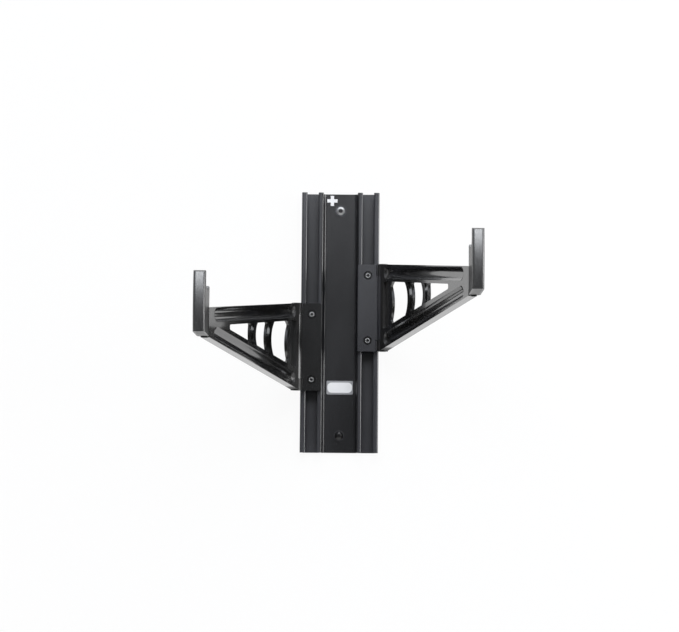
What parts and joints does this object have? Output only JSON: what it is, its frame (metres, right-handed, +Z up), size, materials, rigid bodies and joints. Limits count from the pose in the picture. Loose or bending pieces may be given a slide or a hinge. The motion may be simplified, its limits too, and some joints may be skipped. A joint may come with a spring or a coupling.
{
  "type": "bicycle wall rack",
  "caption": "Wall track with T-slots that carries height-adjustable brackets, swinging truss arms and swivelling rubber-covered cradles for a bicycle's top tube.",
  "frame": {"origin": "middle of the track's back face, on the wall", "axes": "+Z up along the track, +Y into the wall, -Y out into the room, +X to the right of someone who faces the wall"},
  "size_m": [0.2986, 0.3708, 0.3048],
  "materials": {
    "black_anodised": "satin black anodising",
    "black_casting": "gloss black paint on cast aluminium",
    "rubber_cover": "satin, finely mottled",
    "black_nylon": "satin black glass-filled nylon",
    "black_steel": "black oxide",
    "zinc_steel": "zinc plated"
  },
  "bodies": {
    "track": {"wall_track": "black_anodised", "wall_screws": "black_steel", "wall_washers": "black_steel"},
    "left_carriage": {"left_bracket": "black_anodised", "left_bracket_bolts": "black_steel", "left_t_nuts": "zinc_steel", "left_hinge_bushes": "black_nylon"},
    "left_swing_arm": {"left_hinge_pin": "zinc_steel", "left_arm": "black_casting"},
    "left_cradle": {"left_cradle_core": "black_nylon", "left_cradle_cover": "rubber_cover", "left_pivot_bolt": "black_steel", "left_pivot_nut": "zinc_steel", "left_pivot_washers": "black_nylon"},
    "right_carriage": {"right_bracket": "black_anodised", "right_bracket_bolts": "black_steel", "right_t_nuts": "zinc_steel", "right_hinge_bushes": "black_nylon"},
    "right_swing_arm": {"right_hinge_pin": "zinc_steel", "right_arm": "black_casting"},
    "right_cradle": {"right_cradle_core": "black_nylon", "right_cradle_cover": "rubber_cover", "right_pivot_bolt": "black_steel", "right_pivot_nut": "zinc_steel", "right_pivot_washers": "black_nylon"}
  },
  "joints": [
    {"name": "left_height", "type": "slide", "parent": "track", "child": "left_carriage", "axis": [0, 0, 1], "range_m": [-0.0716, 0.1316]},
    {"name": "left_swing", "type": "hinge", "parent": "left_carriage", "child": "left_swing_arm", "pos_m": [-0.05, -0.0285, -0.03], "axis": [0, 0, -1], "range_deg": [-22, 68]},
    {"name": "left_swivel", "type": "hinge", "parent": "left_swing_arm", "child": "left_cradle", "pos_m": [-0.1429, -0.25844, -0.0057], "axis": [0, 0, -1], "range_deg": [-18, 18]},
    {"name": "right_height", "type": "slide", "parent": "track", "child": "right_carriage", "axis": [0, 0, 1], "range_m": [-0.1176, 0.0856]},
    {"name": "right_swing", "type": "hinge", "parent": "right_carriage", "child": "right_swing_arm", "pos_m": [0.05, -0.0285, 0.016], "axis": [0, 0, 1], "range_deg": [-22, 68]},
    {"name": "right_swivel", "type": "hinge", "parent": "right_swing_arm", "child": "right_cradle", "pos_m": [0.1429, -0.25844, 0.0403], "axis": [0, 0, 1], "range_deg": [-18, 18]}
  ]
}
